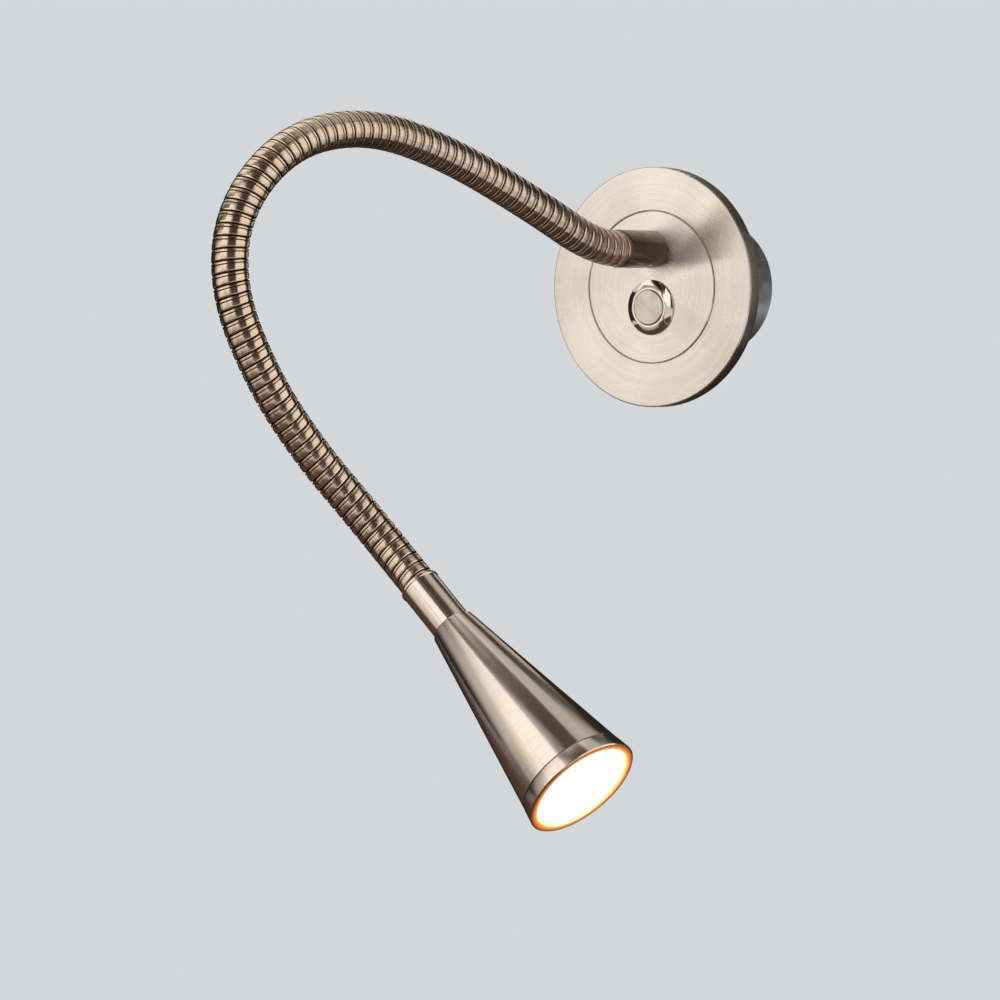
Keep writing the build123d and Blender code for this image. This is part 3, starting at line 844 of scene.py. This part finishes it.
finishes = {
    "zinc steel": (zincSteel, ["mounting_plate", "recess_can", "neck_stud", "neck_washer",
                               "neck_nut", "switch_nut", "ferrule_nut", "disc_screw_1",
                               "disc_screw_2", "disc_screw_3", "board_screw_1",
                               "board_screw_2"]),
    "bright screw": (polishedNickel, ["collar_set_screw"]),
    "yellow zinc": (yellowZinc, ["earth_screw", "terminal_screw_1", "terminal_screw_2",
                                 "terminal_screw_3", "switch_terminal_1",
                                 "switch_terminal_2"]),
    "dark steel": (darkSteel, ["ferrule_set_screw"]),
    "magnets": (magnetNickel, ["magnet_1", "magnet_2", "magnet_3", "magnet_4"]),
    "aluminium": (aluminium, ["heat_sink"]),
    "rubber": (blackRubber, ["cable_grommet", "switch_seal", "lens_seal"]),
    "plastic": (whitePlastic, ["led_driver", "terminal_block", "led_board"]),
    "reflector": (brightReflector, ["reflector"]),
    "chip": (ledGlow, ["led_chip"]),
    "disc": (baseNickel, ["front_disc"]),
}
for material, names in finishes.values():
    for name in names:
        nodes[name].data.materials.clear()
        nodes[name].data.materials.append(material)
print("finishes given")


# ---- studio

studio = {
    "pale": (0.66, 0.68, 0.70),
    "worldFill": 0.42,
    "floorHeight": -0.42,
    "floorSize": 14.0,
    "floorGlow": 0.75,
    "shadowReach": 0.3,
    "fadeEnd": 2.2,
}


def inPlainSight(tree):
    # the paleness is for the camera and for what metal and glass show, not for lighting
    path = addNode(tree, "LightPath").outputs
    seen = mathNode(tree, "MAXIMUM", path["Is Camera Ray"], path["Is Glossy Ray"])
    return mathNode(tree, "MAXIMUM", seen, path["Is Transmission Ray"])


def buildWorld(look=studio):
    world = bpy.data.worlds.new("studio")
    bpy.context.scene.world = world
    world.use_nodes = True
    tree = world.node_tree
    tree.nodes.clear()
    plain = addNode(tree, "Background", {"Color": (1, 1, 1, 1), "Strength": look["worldFill"]})
    pale = addNode(tree, "Background", {"Color": (*look["pale"], 1), "Strength": 1.0})
    mix = addNode(tree, "MixShader",
                  {0: inPlainSight(tree), 1: plain.outputs[0], 2: pale.outputs[0]})
    addNode(tree, "OutputWorld", {0: mix.outputs[0]})


def buildFloor(look=studio):
    deselectAll()
    bpy.ops.mesh.primitive_plane_add(size=look["floorSize"],
                                     location=(0, 0, look["floorHeight"]))
    floor = bpy.context.active_object
    floor.name = "studioFloor"
    material = bpy.data.materials.new("floor paper")
    material.use_nodes = True
    tree = material.node_tree
    tree.nodes.clear()
    paper = addNode(tree, "BsdfDiffuse", {"Color": (*look["pale"], 1)})
    glow = addNode(tree, "Emission", {"Color": (*look["pale"], 1)})
    away = addNode(tree, "VectorMath", {0: addNode(tree, "TexCoord").outputs["Object"]},
                   operation="LENGTH").outputs["Value"]
    glowShare = spread(tree, away, look["floorGlow"], 1, look["shadowReach"], look["fadeEnd"])
    share = mathNode(tree, "MULTIPLY", inPlainSight(tree), glowShare)
    mix = addNode(tree, "MixShader", {0: share, 1: paper.outputs[0], 2: glow.outputs[0]})
    addNode(tree, "OutputMaterial", {0: mix.outputs[0]})
    floor.data.materials.append(material)


studioLights = {
    # radiance, width and height, azimuth from the front to the right, elevation, roll, distance
    "mainSoftbox": (1.20, (2.45, 0.86), -21, 30, -18, 1.5, (1.0, 0.985, 0.96)),
    "rightSoftbox": (1.00, (1.94, 1.60), 100, 12, 0, 1.5, (1.0, 0.97, 0.93)),
    "leftSoftbox": (1.00, (1.1, 1.1), -95, 58, 0, 1.3, (1.0, 0.985, 0.96)),
    "topSoftbox": (0.50, (1.1, 0.9), 138, 65, 0, 1.2, (1.0, 0.97, 0.93)),
}
plateLight = {
    # a gridded softbox in the plate's mirror direction, aimed at its middle
    "radiance": 1.30, "size": (0.20, 0.36), "azimuth": -36, "elevation": -1, "distance": 0.30,
    "grid": 70, "colour": (1.0, 0.97, 0.93),
}
fadingSheets = {
    # width and height, azimuth, elevation, roll, distance, tone at the top and at the foot
    "leftSheet": ((1.0, 1.45), -42, -1, -50, 1.6, (1.36, 1.31, 1.24), (0.03, 0.018, 0.01)),
    "frontSheet": ((2.4, 0.86), -7, -26, 0, 1.5, (1.08, 0.86, 0.64), (0.62, 0.42, 0.27)),
    "rightSheet": ((1.9, 1.09), 109, -36, 0, 1.5, (0.74, 0.57, 0.42), (0.12, 0.065, 0.035)),
}
darkCards = {
    # tone, width and height, azimuth, elevation, roll, distance
    "cameraCard": ("warm", (1.15, 1.9), 49, -22, 0, 1.4),
    "upperCard": ("warm", (2.4, 0.9), 15, 70, -10, 1.4),
    "backCard": ("black", (1.6, 1.8), 165, 20, 0, 1.3),
    "leftCard": ("black", (2.2, 1.9), -125, -12, 0, 1.2),
    "sideCard": ("black", (1.1, 1.7), -80, -8, 0, 1.7),
    "gapCard": ("warm", (1.8, 1.7), 43, 26, 0, 1.65),
}
flatCards = {
    # tone, width and length, place in the room, tilt
    "wallCard": ("black", (0.42, 0.50), (-0.09, 0.0005, -0.03), 90),
    "floorCard": ("warm", (1.5, 2.2), (-0.35, -0.15, -0.39), 0),
}
cardTones = {"warm": (0.095, 0.048, 0.027, 1), "black": (0.02, 0.015, 0.012, 1)}
lampMiddle = (0, -0.10, -0.05)


def aimFrom(thing, azimuth, elevation, roll, distance, target=lampMiddle):
    # stands off from the lamp and faces it
    turn = (Matrix.Rotation(math.radians(azimuth), 3, "Z")
            @ Matrix.Rotation(math.radians(90 - elevation), 3, "X")
            @ Matrix.Rotation(math.radians(roll), 3, "Z"))
    away = turn @ Vector((0, 0, 1))
    thing.matrix_world = Matrix.Translation(Vector(target) + away * distance) @ turn.to_4x4()


def softLight(name, radiance, size, colour, grid=180):
    # a grid holds the light to a narrow fan, and the energy then keeps its radiance ahead
    data = bpy.data.lights.new(name, "AREA")
    data.shape = "RECTANGLE"
    data.size, data.size_y = size
    data.energy = radiance * math.pi * size[0] * size[1]
    if grid < 180:
        half = math.radians(grid / 2)
        data.spread = 2 * half
        data.energy *= 1 - half / math.tan(half)
    data.color = colour
    light = bpy.data.objects.new(name, data)
    bpy.context.scene.collection.objects.link(light)
    return light


def darkCard(name, material, size):
    # matt card beside the picture, which only the sheen of the metal shows
    deselectAll()
    bpy.ops.mesh.primitive_plane_add(size=1)
    card = bpy.context.active_object
    card.name = name
    card.scale = (*size, 1)
    bpy.ops.object.transform_apply(location=True, rotation=True, scale=True)
    card.data.materials.append(material)
    card.visible_camera = card.visible_diffuse = card.visible_shadow = False
    card.visible_transmission = False
    return card


def fadingSheet(name, size, azimuth, elevation, roll, distance, top, foot):
    # carries the softboxes on with a glow that dims from its top end to its foot
    material, tree, shader = newMaterial(name, Base_Color=(0, 0, 0, 1), Roughness=1.0)
    height = addNode(tree, "SeparateXYZ", {0: addNode(tree, "TexCoord").outputs["Object"]})
    reach = size[1] / 2
    share = spread(tree, height.outputs["Y"], 0, 1, -reach, reach)
    tree.links.new(blendColour(tree, share, foot, top), shader.inputs["Emission Color"])
    shader.inputs["Emission Strength"].default_value = 1.0
    aimFrom(darkCard(name, material, size), azimuth, elevation, roll, distance)


def buildLights():
    tones = {}
    for tone, colour in cardTones.items():
        tones[tone] = newMaterial(tone + " card", Roughness=0.9, Base_Color=colour)[0]
    behind = 0.02  # each softbox has a black back
    for name, (radiance, size, *aim, distance, colour) in studioLights.items():
        aimFrom(softLight(name, radiance, size, colour), *aim, distance)
        aimFrom(darkCard(name + "Back", tones["black"], size), *aim, distance + behind)
    look = plateLight
    aim = look["azimuth"], look["elevation"], 0
    aimFrom(softLight("plateSoftbox", look["radiance"], look["size"], look["colour"],
                      look["grid"]), *aim, look["distance"], (0, 0, 0))
    aimFrom(darkCard("plateSoftboxBack", tones["black"], look["size"]), *aim,
            look["distance"] + behind, (0, 0, 0))
    for name, (tone, size, *aim) in darkCards.items():
        aimFrom(darkCard(name, tones[tone], size), *aim)
    for name, (tone, size, place, tilt) in flatCards.items():
        card = darkCard(name, tones[tone], size)
        card.location = place
        card.rotation_euler.x = math.radians(tilt)
    for name, values in fadingSheets.items():
        fadingSheet(name, *values)


photoView = {
    # what the picture's middle shows, in mm, and where the camera stands from it
    "target": (-43.46, -31.45, -71.08), "azimuth": 35.89, "elevation": 1.21, "distance": 2.5,
    "lens": 269.37, "sensor": 36.0, "clip": (0.05, 60.0),
}


def placeCamera(look=photoView):
    # the photograph's own place and angle, with a lens worked out for a square picture
    data = bpy.data.cameras.new("camera")
    data.lens = look["lens"]
    data.sensor_width = look["sensor"]
    data.clip_start, data.clip_end = look["clip"]
    camera = bpy.data.objects.new("camera", data)
    bpy.context.scene.collection.objects.link(camera)
    target = Vector(look["target"]) * mm
    azimuth, elevation = math.radians(look["azimuth"]), math.radians(look["elevation"])
    camera.location = target + look["distance"] * Vector((
        math.sin(azimuth) * math.cos(elevation), -math.cos(azimuth) * math.cos(elevation),
        math.sin(elevation)))
    camera.rotation_euler = (target - camera.location).to_track_quat("-Z", "Y").to_euler()
    bpy.context.scene.camera = camera


buildWorld()
buildFloor()
buildLights()
placeCamera()
bpy.context.scene.view_settings.view_transform = "Standard"
print("studio ready")
